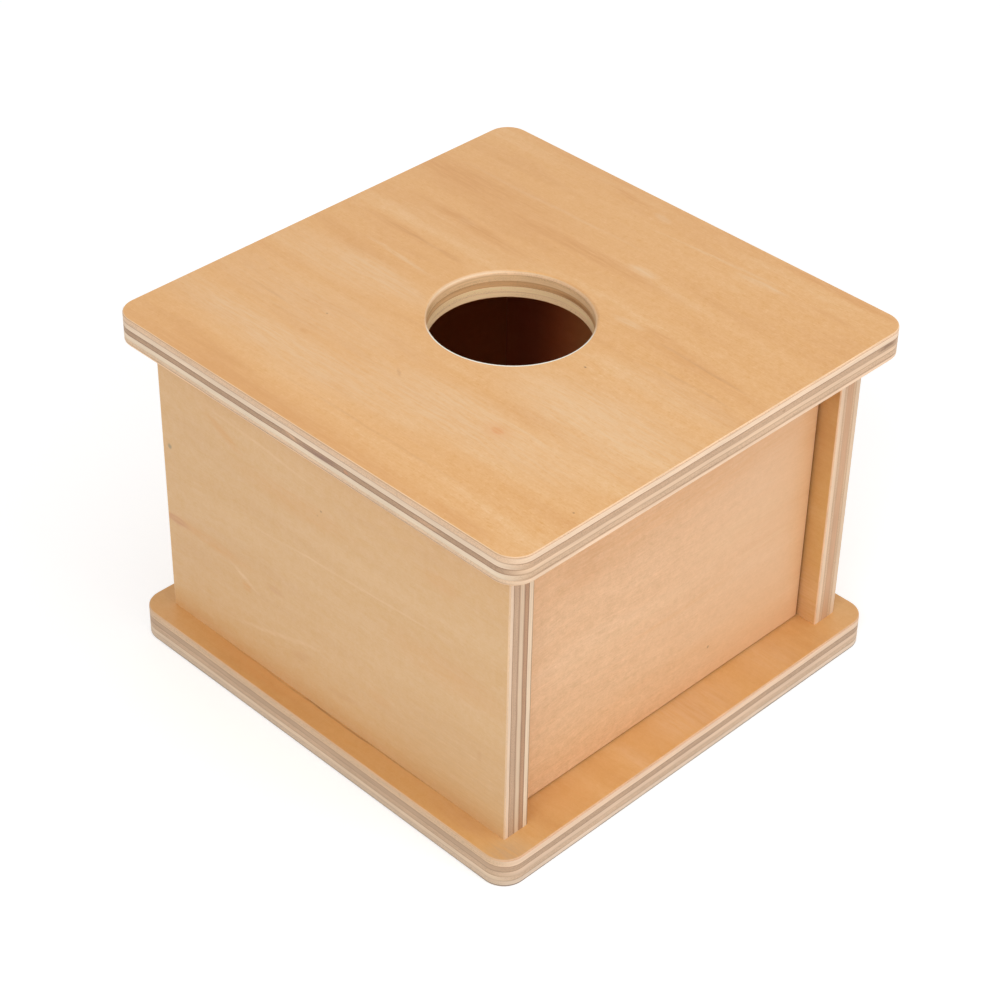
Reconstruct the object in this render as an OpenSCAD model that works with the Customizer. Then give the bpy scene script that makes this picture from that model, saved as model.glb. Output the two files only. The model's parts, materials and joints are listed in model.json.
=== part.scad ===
// Object permanence box: a closed plywood box with a round hole in its top board, through which a ball
// drops, and a top-hung flap in its front, which is pushed to reach the ball again.
// Millimetres. The origin is the middle of the base board's underside, +Z is up, and the flap faces -Y.

/* [Walls] */
// Width of the box over its side walls
box_w = 140; // [110:1:200]
// Depth of the box, from the front edges of the side walls to the back
box_d = 140; // [110:1:200]
// Height of the walls, from the base board to the top board
wall_h = 95; // [75:1:150]
// Thickness of the wall plywood
wall_t = 9; // [8:0.5:14]
// Rounding of the upright edges of the walls
wall_edge_r = 0.5; // [0.2:0.1:1.5]

/* [Top board] */
// Thickness of the top board
top_t = 9; // [8:0.5:14]
// Overhang of the top board past each side wall
top_side_overhang = 7.5; // [3:0.5:20]
// Overhang of the top board past the walls at the front and at the back
top_end_overhang = 8.5; // [3:0.5:20]
// Diameter of the ball hole
hole_d = 47; // [30:0.5:70]
// Rounding of the upper rim of the ball hole
hole_rim_r = 1.1; // [0.3:0.1:2]

/* [Base board] */
// Thickness of the base board
base_t = 10; // [8:0.5:16]
// Overhang of the base board past the walls
base_overhang = 7.5; // [3:0.5:20]

/* [Board edges] */
// Corner radius of the top and base boards, seen from above
corner_r = 7; // [4:0.5:15]
// Rounding of the upper and lower edges of the top and base boards, and of the lower rim of the ball hole
board_edge_r = 0.4; // [0.2:0.1:3]

/* [Flap] */
// Thickness of the flap
flap_t = 9; // [7:0.5:12]
// Distance of the flap's face behind the front edges of the side walls
flap_recess = 6.5; // [2:0.5:20]
// Gap between the flap and each side wall
flap_side_gap = 0.8; // [0.4:0.1:2]
// Gap between the flap and the base board
flap_foot_gap = 0.4; // [0.3:0.1:3]
// Gap between the flap's round top and the top board
flap_top_gap = 1.5; // [0.5:0.1:4]
// Rounding of the flap's other edges
flap_edge_r = 0.5; // [0.2:0.1:1.5]

/* [Pivot pins] */
// Diameter of the pivot pins
pin_d = 3; // [2:0.5:4]
// Length of a pin inside the flap
pin_in_flap = 10; // [6:0.5:16]
// Length of a pin inside a side wall
pin_in_wall = 5; // [3:0.5:6]
// Running gap round a pin in its side wall
pin_run_gap = 0.08; // [0.03:0.01:0.1]
// Bevel of the pin ends
pin_bevel = 0.3; // [0.1:0.1:0.6]

/* [Dowels] */
// Diameter of the dowels
dowel_d = 5; // [3:0.5:5.5]
// Length of a dowel inside the face of a board
dowel_in_face = 6; // [3:0.5:6.5]
// Length of a dowel inside the edge of a wall
dowel_in_edge = 12; // [8:0.5:20]
// Bevel of the dowel ends
dowel_bevel = 0.6; // [0.2:0.1:1.2]
// Dowels between the top board and each side wall
side_dowel_count = 3; // [2:1:4]
// Dowels between the top board and the back wall
back_dowel_count = 2; // [2:1:4]
// Dowels between the back wall and each side wall
corner_dowel_count = 2; // [2:1:3]
// Distance of the outermost side dowels from the flap and from the back wall
side_dowel_inset = 10; // [8:0.5:14]
// Distance of the outermost back and corner dowels from the end of a wall
dowel_inset = 20; // [16:0.5:24]

/* [Screws] */
// Diameter of the screws
screw_d = 3; // [2.5:0.5:4]
// Length of a screw over its head
screw_len = 25; // [18:1:32]
// Diameter of the countersunk heads
screw_head_d = 6; // [5.5:0.5:7.5]
// Depth of the heads below the underside of the base board
screw_sink = 0.3; // [0.1:0.1:1]
// Length of a screw's point
screw_point = 3; // [2:0.5:5]
// Diameter of the blunt end of the point
screw_tip_d = 0.3; // [0.1:0.1:0.8]
// Length of each arm pair of the cross slot
slot_len = 3.2; // [2:0.1:3.6]
// Width of the cross slot
slot_w = 0.7; // [0.4:0.1:1]
// Depth of the cross slot
slot_depth = 1; // [0.5:0.1:1.4]
// Screws into each side wall
side_screw_count = 3; // [2:1:4]
// Screws into the back wall
back_screw_count = 2; // [2:1:3]
// Distance of the outermost screws from the end of a wall
screw_inset = 20; // [12:0.5:30]

/* [Fits] */
// Gap round and behind a piece that is glued or driven into a hole
snug_gap = 0.05; // [0.02:0.01:0.1]
// Free depth left behind a dowel or a pin at the bottom of its hole
hole_end_gap = 0.4; // [0.2:0.1:0.8]
// Gap round a screw where it passes through the base board
screw_pass_gap = 0.1; // [0.05:0.01:0.2]

/* [Hidden] */
$fn = 48;

// How far a cut runs past the surface that it opens
overrun = 1;

// Heights of the walls' feet and heads
wall_foot_z = base_t;
wall_head_z = base_t + wall_h;

// The boards' plan sizes
top_w = box_w + 2 * top_side_overhang;
top_d = box_d + 2 * top_end_overhang;
base_w = box_w + 2 * base_overhang;
base_d = box_d + 2 * base_overhang;

// Clear width between the side walls, and the middle planes of the walls
inner_w = box_w - 2 * wall_t;
side_mid_x = (box_w - wall_t) / 2;
back_mid_y = (box_d - wall_t) / 2;
back_inner_y = box_d / 2 - wall_t;

// The flap's place and size, and its pivot line
flap_w = inner_w - 2 * flap_side_gap;
flap_face_y = flap_recess - box_d / 2;
flap_back_y = flap_face_y + flap_t;
pivot_y = (flap_face_y + flap_back_y) / 2;
pivot_z = wall_head_z - flap_top_gap - flap_t / 2;
flap_foot_z = wall_foot_z + flap_foot_gap;

// Where the fastener rows run
side_dowel_ys = row(flap_back_y + side_dowel_inset, back_inner_y - side_dowel_inset, side_dowel_count);
back_dowel_xs = row(dowel_inset - inner_w / 2, inner_w / 2 - dowel_inset, back_dowel_count);
corner_dowel_zs = row(wall_foot_z + dowel_inset, wall_head_z - dowel_inset, corner_dowel_count);
side_screw_ys = row(screw_inset - box_d / 2, box_d / 2 - screw_inset, side_screw_count);
back_screw_xs = row(screw_inset - inner_w / 2, inner_w / 2 - screw_inset, back_screw_count);

// Places in an even row from first to last
function row(first, last, count) = [for (i = [0 : count - 1]) first + (last - first) * i / (count - 1)];

// A rectangle with round corners, centred
module round_rect(w, d, r) {
    square([w - 2 * r, d], center = true);
    square([w, d - 2 * r], center = true);
    for (sx = [-1, 1], sy = [-1, 1])
        translate([sx * (w / 2 - r), sy * (d / 2 - r)])
            circle(r);
}

// Half section of a board's rim: reach wide, t thick, with both outer corners rounded by e
module rim_section(reach, t, e) {
    square([reach - e, t]);
    translate([0, e])
        square([reach, t - 2 * e]);
    for (y = [e, t - e])
        translate([reach - e, y])
            circle(e);
}

// A board with plan corners of radius r and rounded upper and lower edges, on z = 0
module eased_board(w, d, t, r, e) {
    flat_w = w - 2 * r;
    flat_d = d - 2 * r;
    translate([-flat_w / 2, -flat_d / 2, 0])
        cube([flat_w, flat_d, t]);
    for (turn = [0 : 3]) {
        across = turn % 2 == 0 ? flat_w : flat_d;
        along = turn % 2 == 0 ? flat_d : flat_w;
        rotate([0, 0, 90 * turn]) {
            translate([across / 2, along / 2, 0])
                rotate([90, 0, 0])
                    linear_extrude(along)
                        intersection() {
                            rim_section(r, t, e);
                            square([r, t]);
                        }
            translate([across / 2, along / 2, 0])
                rotate_extrude(angle = 90)
                    intersection() {
                        rim_section(r, t, e);
                        square([r, t]);
                    }
        }
    }
}

// What rounds the mouth of a bore of radius r at z = 0, with the board below
module mouth_cut(r, e) {
    rotate_extrude()
        difference() {
            translate([r - e, -e])
                square([2 * e, e + overrun]);
            translate([r + e, -e])
                circle(e);
        }
}

// A round rod along Z from -low to high, with bevelled ends
module rod(d, low, high, bevel) {
    r = d / 2;
    rotate_extrude()
        polygon([
            [0, -low], [r - bevel, -low], [r, bevel - low],
            [r, high - bevel], [r - bevel, high], [0, high]
        ]);
}

// A blind or through hole for such a rod
module rod_hole(d, low, high) {
    translate([0, 0, -low])
        cylinder(d = d, h = low + high);
}

// A dowel across a joint: its long end points down into an edge, its short end up into a face
module dowel() {
    rod(dowel_d, dowel_in_edge, dowel_in_face, dowel_bevel);
}

module dowel_hole() {
    rod_hole(dowel_d + 2 * snug_gap, dowel_in_edge + hole_end_gap, dowel_in_face + hole_end_gap);
}

// Places of the dowels, in the left half where the box is symmetrical
module at_side_dowels() {
    for (y = side_dowel_ys)
        translate([-side_mid_x, y, wall_head_z])
            children();
}

module at_back_dowels() {
    for (x = back_dowel_xs)
        translate([x, back_mid_y, wall_head_z])
            children();
}

module at_corner_dowels() {
    for (z = corner_dowel_zs)
        translate([-inner_w / 2, back_mid_y, z])
            rotate([0, -90, 0])
                children();
}

// Places of the screws
module at_side_screws() {
    for (y = side_screw_ys)
        translate([-side_mid_x, y, 0])
            children();
}

module at_back_screws() {
    for (x = back_screw_xs)
        translate([x, back_mid_y, 0])
            children();
}

// A countersunk wood screw that points up, with its head at the underside of the base board
module screw() {
    r = screw_d / 2;
    head_r = screw_head_d / 2;
    head_h = head_r - r;
    difference() {
        translate([0, 0, screw_sink])
            rotate_extrude()
                polygon([
                    [0, 0], [head_r, 0], [r, head_h],
                    [r, screw_len - screw_point], [screw_tip_d / 2, screw_len], [0, screw_len]
                ]);
        for (turn = [0, 90])
            rotate([0, 0, turn])
                translate([-slot_len / 2, -slot_w / 2, screw_sink - overrun])
                    cube([slot_len, slot_w, overrun + slot_depth]);
    }
}

// The hole that a screw needs in the base board, with its countersink
module base_screw_hole() {
    r = screw_d / 2 + screw_pass_gap;
    head_r = screw_head_d / 2 + screw_pass_gap;
    rotate_extrude()
        polygon([
            [0, -overrun], [head_r, -overrun], [head_r, screw_sink],
            [r, screw_sink + head_r - r], [r, base_t + overrun], [0, base_t + overrun]
        ]);
}

// The hole that a screw cuts in the foot of a wall
module wall_screw_hole() {
    top = screw_sink + screw_len + snug_gap;
    translate([0, 0, wall_foot_z - overrun])
        cylinder(d = screw_d + 2 * snug_gap, h = top - wall_foot_z + overrun);
}

// A pivot pin along X at the left end of the flap, driven into the flap and turning in the wall
module pivot_pin() {
    translate([-inner_w / 2, pivot_y, pivot_z])
        rotate([0, -90, 0])
            rod(pin_d, pin_in_flap + flap_side_gap, pin_in_wall, pin_bevel);
}

// The left side wall, with its blind pivot bore and its dowel and screw holes
module side_wall() {
    difference() {
        translate([-side_mid_x, 0, wall_foot_z])
            linear_extrude(wall_h)
                round_rect(wall_t, box_d, wall_edge_r);
        translate([-inner_w / 2, pivot_y, pivot_z])
            rotate([0, -90, 0])
                rod_hole(pin_d + 2 * pin_run_gap, overrun, pin_in_wall + hole_end_gap);
        at_side_dowels()
            dowel_hole();
        at_corner_dowels()
            dowel_hole();
        at_side_screws()
            wall_screw_hole();
    }
}

module both_sides() {
    children();
    mirror([1, 0, 0])
        children();
}

module top_board() {
    color("#E6B580")
        difference() {
            translate([0, 0, wall_head_z])
                eased_board(top_w, top_d, top_t, corner_r, board_edge_r);
            translate([0, 0, wall_head_z - overrun])
                cylinder(d = hole_d, h = top_t + 2 * overrun, $fn = 96);
            translate([0, 0, wall_head_z + top_t])
                mouth_cut(hole_d / 2, hole_rim_r, $fn = 96);
            translate([0, 0, wall_head_z])
                mirror([0, 0, 1])
                    mouth_cut(hole_d / 2, board_edge_r, $fn = 96);
            both_sides()
                at_side_dowels()
                    dowel_hole();
            at_back_dowels()
                dowel_hole();
        }
}

module base_board() {
    color("#DEA66C")
        difference() {
            eased_board(base_w, base_d, base_t, corner_r, board_edge_r);
            both_sides()
                at_side_screws()
                    base_screw_hole();
            at_back_screws()
                base_screw_hole();
        }
}

module left_wall() {
    color("#DDB68A")
        side_wall();
}

module right_wall() {
    color("#DDB68A")
        mirror([1, 0, 0])
            side_wall();
}

module back_wall() {
    color("#D9AE80")
        difference() {
            translate([0, back_mid_y, wall_foot_z])
                linear_extrude(wall_h)
                    round_rect(inner_w, wall_t, wall_edge_r);
            at_back_dowels()
                dowel_hole();
            both_sides()
                at_corner_dowels()
                    dowel_hole();
            at_back_screws()
                wall_screw_hole();
        }
}

// The flap hangs on its pins. Its top is round about the pivot line, so that it clears the top board.
module front_flap() {
    drop = pivot_z - flap_foot_z;
    color("#DDAF82")
        difference() {
            intersection() {
                translate([-flap_w / 2, pivot_y, pivot_z])
                    rotate([90, 0, 90])
                        linear_extrude(flap_w) {
                            circle(flap_t / 2);
                            translate([-flap_t / 2, -drop / 2])
                                square([flap_t, drop / 2]);
                            translate([0, -drop / 2])
                                round_rect(flap_t, drop, flap_edge_r);
                        }
                translate([0, pivot_y, flap_foot_z - overrun])
                    linear_extrude(drop + flap_t + overrun)
                        round_rect(flap_w, flap_t, flap_edge_r);
            }
            both_sides()
                translate([-flap_w / 2, pivot_y, pivot_z])
                    rotate([0, 90, 0])
                        rod_hole(pin_d + 2 * snug_gap, overrun, pin_in_flap + hole_end_gap);
        }
}

module left_pivot_pin() {
    color("#B8BBC0")
        pivot_pin();
}

module right_pivot_pin() {
    color("#B8BBC0")
        mirror([1, 0, 0])
            pivot_pin();
}

module left_top_dowels() {
    color("#CFA673")
        at_side_dowels()
            dowel();
}

module right_top_dowels() {
    color("#CFA673")
        mirror([1, 0, 0])
            at_side_dowels()
                dowel();
}

module back_top_dowels() {
    color("#CFA673")
        at_back_dowels()
            dowel();
}

module left_corner_dowels() {
    color("#CFA673")
        at_corner_dowels()
            dowel();
}

module right_corner_dowels() {
    color("#CFA673")
        mirror([1, 0, 0])
            at_corner_dowels()
                dowel();
}

module left_base_screws() {
    color("#C9B98A")
        at_side_screws()
            screw();
}

module right_base_screws() {
    color("#C9B98A")
        mirror([1, 0, 0])
            at_side_screws()
                screw();
}

module back_base_screws() {
    color("#C9B98A")
        at_back_screws()
            screw();
}

top_board();
base_board();
left_wall();
right_wall();
back_wall();
front_flap();
left_pivot_pin();
right_pivot_pin();
left_top_dowels();
right_top_dowels();
back_top_dowels();
left_corner_dowels();
right_corner_dowels();
left_base_screws();
right_base_screws();
back_base_screws();
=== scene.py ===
"""The looks of a plywood object permanence box.

The boards are lacquered plywood. Their faces show a rotary-cut veneer with its figure, and their edges show
the plies. The screws and dowels are worked out as surfaces. Places and sizes are millimetres in the frame,
and angles are degrees, unless a comment says otherwise.
"""

import json
import math

import bpy
import numpy as np
from mathutils import Matrix, Vector


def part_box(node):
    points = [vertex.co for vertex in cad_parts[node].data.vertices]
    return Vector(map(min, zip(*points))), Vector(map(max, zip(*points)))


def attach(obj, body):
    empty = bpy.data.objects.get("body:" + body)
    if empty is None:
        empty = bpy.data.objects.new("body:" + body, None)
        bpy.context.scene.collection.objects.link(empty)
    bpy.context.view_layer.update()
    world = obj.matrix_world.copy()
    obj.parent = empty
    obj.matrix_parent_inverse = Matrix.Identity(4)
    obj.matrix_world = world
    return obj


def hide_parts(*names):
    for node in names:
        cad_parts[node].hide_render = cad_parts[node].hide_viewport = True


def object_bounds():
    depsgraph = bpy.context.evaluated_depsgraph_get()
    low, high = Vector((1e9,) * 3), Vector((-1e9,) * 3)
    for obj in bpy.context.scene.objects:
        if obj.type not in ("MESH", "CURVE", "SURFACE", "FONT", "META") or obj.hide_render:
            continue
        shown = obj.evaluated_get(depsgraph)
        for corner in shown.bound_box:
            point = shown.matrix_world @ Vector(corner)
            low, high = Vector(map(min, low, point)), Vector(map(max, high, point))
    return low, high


MM = 0.001

# The camera looks down on the corner between the left wall and the flap
CAMERA_AZIMUTH = -45.5746
CAMERA_ELEVATION = 37.0877
CAMERA_ROLL = 1.169
CAMERA_DISTANCE = 752.05
CAMERA_LENS = 93.49
SENSOR = 36
CAMERA_NEAR = 10
# How far the middle of the box lies right of and above the middle of the picture
BOX_RIGHT = 2.13
BOX_UP = 5.31

# The strength of the light from all sides
WORLD_STRENGTH = 0.56
WHITE = (1, 1, 1, 1)
# The floor's width, how far it reaches under the base board, its grey, and the light it gives off itself
FLOOR_WIDTH = 6000
FLOOR_LAP = 4
FLOOR_TONE = (0.82, 0.82, 0.82, 1)
FLOOR_LIFT = 0.4

# Softboxes: width, place, and power in watts
SOFTBOXES = {
    "overhead": (900, (200, -450, 1150), 1.5),
    "front": (700, (250, -1100, 600), 3.7),
    "left": (700, (-930, -400, 820), 4.9),
}


def tone(red, green, blue):
    """A colour, from screen values of 0 to 255 to the linear values that shaders use."""
    share = np.array((red, green, blue)) / 255
    linear = np.where(share <= 0.04045, share / 12.92, ((share + 0.055) / 1.055) ** 2.4)
    return (*linear.tolist(), 1.0)


class Steps:
    """One node tree, written as steps. Each step adds a node and gives back its output."""

    def __init__(self, tree):
        self.tree = tree

    def node(self, kind, feeds=None, **settings):
        """A shader node. feeds maps an input's name or number to a value or to another node's output."""
        made = self.tree.nodes.new(kind)
        for name, value in settings.items():
            setattr(made, name, value)
        for key, value in (feeds or {}).items():
            self.feed(made.inputs[key], value)
        return made

    def feed(self, socket, value):
        """Gives an input a value or another node's output."""
        if isinstance(value, bpy.types.NodeSocket):
            self.tree.links.new(value, socket)
        else:
            socket.default_value = value

    def math(self, operation, *values):
        return self.node("ShaderNodeMath", dict(enumerate(values)), operation=operation).outputs[0]

    def vector(self, operation, *values):
        return self.node("ShaderNodeVectorMath", dict(enumerate(values)), operation=operation).outputs[0]

    def combine(self, x=0.0, y=0.0, z=0.0):
        return self.node("ShaderNodeCombineXYZ", {0: x, 1: y, 2: z}).outputs[0]

    def separate(self, vector):
        return self.node("ShaderNodeSeparateXYZ", {0: vector}).outputs

    def length(self, vector):
        return self.node("ShaderNodeVectorMath", {0: vector}, operation="LENGTH").outputs["Value"]

    def total(self, first, *others):
        """The sum of all values."""
        for other in others:
            first = self.math("ADD", first, other)
        return first

    def product(self, first, *others):
        """The product of all values."""
        for other in others:
            first = self.math("MULTIPLY", first, other)
        return first

    def noise(self, place, scale, detail=2.0, roughness=0.5):
        """Noise from 0 to 1 round 0.5, with its own number of waves per millimetre along each axis."""
        feeds = {"Vector": self.vector("MULTIPLY", place, scale), "Scale": 1.0}
        feeds.update({"Detail": detail, "Roughness": roughness})
        return self.node("ShaderNodeTexNoise", feeds).outputs["Fac"]

    def span(self, value, low, high, to_low=0.0, to_high=1.0, interpolation="LINEAR"):
        """The value's place between low and high, carried over to the other span and held at its ends."""
        feeds = dict(enumerate((value, low, high, to_low, to_high)))
        return self.node("ShaderNodeMapRange", feeds, interpolation_type=interpolation).outputs["Result"]

    def ease(self, value, low, high):
        """0 below low and 1 above high, with a soft step between them; low above high turns it round."""
        return self.span(value, low, high, interpolation="SMOOTHSTEP")

    def swing(self, value, reach):
        """A noise as a swing round 0, from about -reach to reach."""
        return self.span(value, 0.2, 0.8, -reach, reach)

    def mix(self, share, first, second, blend="MIX"):
        """The first colour at share 0, the second at share 1."""
        feeds = {0: share, 6: first, 7: second}
        return self.node("ShaderNodeMix", feeds, data_type="RGBA", blend_type=blend).outputs[2]

    def lit(self, colour, light):
        """The colour times a value."""
        return self.vector("MULTIPLY", colour, self.combine(light, light, light))

    def ramp(self, value, stops):
        """A colour ramp through (place, colour) stops, at most 32."""
        made = self.node("ShaderNodeValToRGB", {0: value})
        elements = made.color_ramp.elements
        while len(elements) < len(stops):
            elements.new(1.0)
        for element, (place, colour) in zip(elements, stops):
            element.position = place
            element.color = colour
        return made.outputs["Color"]

    def use(self, effect, **feeds):
        """A shared effect placed in this tree. Feeds are named as its inputs."""
        made = self.node("ShaderNodeGroup", node_tree=SHARED[effect])
        for name, value in feeds.items():
            self.feed(made.inputs[name.capitalize()], value)
        return made.outputs


def empty_tree(owner):
    """The steps of a material's or a world's own tree, which is emptied first."""
    owner.use_nodes = True
    owner.node_tree.nodes.clear()
    return Steps(owner.node_tree)


class Surface:
    """A material with the Principled shader, the place on the piece in mm, and the surface's direction."""

    def __init__(self, name, metallic=0.0):
        self.material = bpy.data.materials.new(name)
        self.steps = empty_tree(self.material)
        self.shader = self.steps.node("ShaderNodeBsdfPrincipled", {"Metallic": metallic})
        self.steps.node("ShaderNodeOutputMaterial", {"Surface": self.shader.outputs[0]})
        source = self.steps.node("ShaderNodeTexCoord").outputs
        self.place = self.steps.vector("MULTIPLY", source["Object"], (1 / MM,) * 3)
        self.normal = source["Normal"]

    def finish(self, colour, roughness, height, strength, depth):
        """The material, with its colour and roughness, and a fine relief as deep as depth in mm."""
        feeds = {"Height": height, "Strength": strength, "Distance": depth * MM}
        relief = self.steps.node("ShaderNodeBump", feeds).outputs[0]
        for socket, value in (("Base Color", colour), ("Roughness", roughness), ("Normal", relief)):
            self.steps.feed(self.shader.inputs[socket], value)
        return self.material


def put_in_scene(name, data):
    """A new object in the scene."""
    made = bpy.data.objects.new(name, data)
    bpy.context.scene.collection.objects.link(made)
    return made


KINDS = {"vector": "NodeSocketVector", "colour": "NodeSocketColor", "value": "NodeSocketFloat"}


def new_group(name, inputs, outputs):
    """An empty shared effect: its steps, and the sockets that it gets and gives. Sockets are name: kind."""
    tree = bpy.data.node_groups.new(name, "ShaderNodeTree")
    for direction, sockets in (("INPUT", inputs), ("OUTPUT", outputs)):
        for socket, kind in sockets.items():
            tree.interface.new_socket(socket, in_out=direction, socket_type=KINDS[kind])
    given = tree.nodes.new("NodeGroupInput").outputs
    result = tree.nodes.new("NodeGroupOutput").inputs
    return Steps(tree), given, result


# How far red and blue swing with the figure under lacquer, as shares of green's swing
LACQUER_RED = 0.4
LACQUER_BLUE = 2.4


def veneer_figure():
    """The figure of a rotary-cut veneer. Place is across the grain, along the grain and a seed, in mm.

    Broad bands and narrow streaks run along the grain and waver. Fibres, short flecks and clouds lie over
    them, and a fine mottle without a direction. Warmth makes what is darker also more amber, as it is under
    lacquer.
    """
    inputs = {"Place": "vector", "Ground": "colour", "Band": "colour", "Pale": "colour"}
    inputs.update(dict.fromkeys(("Bands", "Fibres", "Flecks", "Mottle", "Warmth"), "value"))
    steps, given, result = new_group("veneer figure", inputs, {"Colour": "colour", "Height": "value"})
    place = given["Place"]
    across, along, seed = steps.separate(place)

    waver = steps.noise(place, (0.016, 0.011, 1), detail=3)
    bent = steps.combine(steps.total(across, steps.swing(waver, 5)), along, seed)
    broad = steps.noise(bent, (0.1, 0.01, 1), detail=2)
    streak = steps.noise(bent, (0.5, 0.032, 1), detail=2, roughness=0.55)
    cloud = steps.noise(place, (0.07, 0.045, 1), detail=3)
    tangle = steps.total(
        steps.product(broad, 0.55), steps.product(streak, 0.22), steps.product(cloud, 0.23))
    dark_share = steps.product(steps.ease(tangle, 0.5, 0.68), given["Bands"])
    pale_share = steps.product(steps.ease(tangle, 0.5, 0.34), given["Bands"])
    colour = steps.mix(dark_share, given["Ground"], given["Band"])
    colour = steps.mix(pale_share, colour, given["Pale"])

    fibre = steps.noise(bent, (1.9, 0.1, 1), detail=3, roughness=0.6)
    grit = steps.noise(place, (3.4, 1.2, 1), detail=1)
    fleck = steps.noise(place, (2.1, 0.5, 1), detail=1)
    dark_fleck = steps.ease(fleck, 0.6, 0.74)
    pale_fleck = steps.ease(fleck, 0.38, 0.26)
    light = steps.total(steps.swing(streak, 0.028), steps.swing(fibre, 0.034), steps.swing(grit, 0.02))
    light = steps.total(steps.product(light, given["Fibres"]), steps.swing(cloud, 0.03))
    speckle = steps.noise(place, (0.34, 0.26, 1), detail=4, roughness=0.95)
    speckle = steps.product(steps.swing(speckle, 0.07), given["Mottle"])
    glint = steps.product(steps.math("SUBTRACT", pale_fleck, dark_fleck), given["Flecks"], 0.06)
    light = steps.total(light, speckle, glint)
    red = steps.span(given["Warmth"], 0, 1, 1, LACQUER_RED)
    blue = steps.span(given["Warmth"], 0, 1, 1, LACQUER_BLUE)
    shares = [steps.total(steps.product(light, share), 1.0) for share in (red, 1.0, blue)]
    steps.feed(result["Colour"], steps.vector("MULTIPLY", colour, steps.combine(*shares)))
    steps.feed(result["Height"], steps.math("SUBTRACT", fibre, dark_fleck))
    return steps.tree


def wood_mark():
    """The mask of one mark in the wood: a soft ellipse round Centre, turned by Tilt.

    Size is its half width and half length. Place is across and along the grain, in mm.
    """
    inputs = {"Place": "vector", "Centre": "vector", "Size": "vector", "Tilt": "value", "Strength": "value"}
    steps, given, result = new_group("wood mark", inputs, {"Mask": "value"})
    offset = steps.vector("SUBTRACT", given["Place"], given["Centre"])
    feeds = {"Vector": offset, "Angle": given["Tilt"]}
    turned = steps.node("ShaderNodeVectorRotate", feeds, rotation_type="Z_AXIS").outputs[0]
    reach = steps.length(steps.vector("DIVIDE", turned, given["Size"]))
    mask = steps.ease(reach, 1, 0.25)
    steps.feed(result["Mask"], steps.product(mask, given["Strength"]))
    return steps.tree


def edge_grain():
    """How cut wood looks close up. Place is across, along and through the board, in mm.

    Long grain has fine lines along the edge, and end grain a dark stipple; Ends is the share of end grain.
    """
    inputs = {"Place": "vector", "Colour": "colour", "Ends": "value"}
    steps, given, result = new_group("edge grain", inputs, {"Colour": "colour", "Height": "value"})
    place = given["Place"]
    lines = steps.noise(place, (0.05, 0.05, 2.6), detail=4, roughness=0.85)
    stipple = steps.noise(place, (2.2, 2.2, 2.8), detail=3, roughness=0.85)
    patches = steps.noise(place, (0.07, 0.07, 0.3), detail=3)
    pores = steps.product(steps.ease(stipple, 0.46, 0.66), given["Ends"])
    light = steps.total(steps.swing(lines, 0.2), steps.swing(patches, 0.07))
    light = steps.total(light, steps.product(pores, -0.24), 1.04)
    steps.feed(result["Colour"], steps.lit(given["Colour"], light))
    steps.feed(result["Height"], steps.math("SUBTRACT", lines, pores))
    return steps.tree


# Half the width over which one ply's tone turns into the next
BORDER = 0.02

# Sheets of plywood, from the outer face in: thickness of each ply, whether its grain runs with the face
# veneer, and its tone where it is cut along and across its grain. Thin first lines are a rim and its glue.
CUT_ALONG, CUT_ACROSS = 2, 3
VENEER_CUT = (240, 200, 158)
NINE_MM_PLIES = (
    (0.14, True, (242, 205, 164), (243, 204, 166)),
    (0.20, True, (206, 168, 131), (240, 198, 158)),
    (0.14, True, (194, 156, 120), (202, 160, 126)),
    (1.62, False, (238, 208, 178), (229, 193, 158)),
    (1.83, True, (231, 205, 177), (202, 166, 133)),
    (1.82, False, (226, 193, 160), (183, 149, 119)),
    (1.60, True, (231, 208, 180), (214, 179, 145)),
    (1.33, False, (238, 205, 173), (228, 195, 160)),
    (0.32, True, VENEER_CUT, VENEER_CUT),
)
WALL_PLIES = (
    (0.40, True, (226, 190, 152), (226, 190, 152)),
    (1.00, False, (229, 200, 172), (215, 184, 154)),
    (2.20, True, (222, 196, 170), (195, 161, 131)),
    (1.80, False, (215, 187, 157), (205, 174, 146)),
    (1.65, True, (222, 194, 167), (182, 141, 108)),
    (1.40, False, (228, 202, 172), (212, 182, 152)),
    (0.55, True, (203, 170, 134), (203, 170, 134)),
)
RIGHT_WALL_PLIES = (
    (0.45, True, (214, 184, 154), (214, 184, 154)),
    (1.65, False, (219, 189, 158), (208, 176, 146)),
    (1.10, True, (226, 198, 170), (210, 173, 136)),
    (2.70, False, (201, 157, 121), (190, 150, 120)),
    (1.20, True, (226, 198, 170), (209, 173, 139)),
    (1.50, False, (229, 197, 165), (212, 180, 150)),
    (0.40, True, (232, 190, 150), (232, 190, 150)),
)
TEN_MM_PLIES = (
    (0.15, True, (214, 176, 138), (229, 181, 141)),
    (0.40, True, (213, 174, 134), (226, 176, 136)),
    (2.00, False, (231, 200, 171), (218, 184, 148)),
    (2.05, True, (189, 158, 129), (188, 156, 127)),
    (1.80, False, (217, 188, 160), (204, 172, 141)),
    (1.60, True, (222, 197, 169), (208, 177, 147)),
    (1.40, False, (220, 197, 174), (213, 187, 160)),
    # The last ply is drawn dark and grey, as a painted contact shadow along the foot
    (0.60, True, (172, 152, 132), (150, 134, 119)),
)
# The same 9 mm sheet as the ball hole shows it, drawn brighter as painted light
LIT_HOLE_PLIES = (
    (0.45, True, (238, 202, 158), (238, 202, 158)),
    (0.80, False, (245, 204, 160), (244, 202, 158)),
    (2.00, True, (241, 200, 152), (239, 197, 148)),
    (1.90, False, (223, 174, 122), (218, 167, 115)),
    (1.65, True, (255, 220, 170), (254, 218, 168)),
    (1.80, False, (255, 218, 170), (254, 216, 168)),
    (0.40, True, (226, 182, 136), (226, 182, 136)),
)
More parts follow.
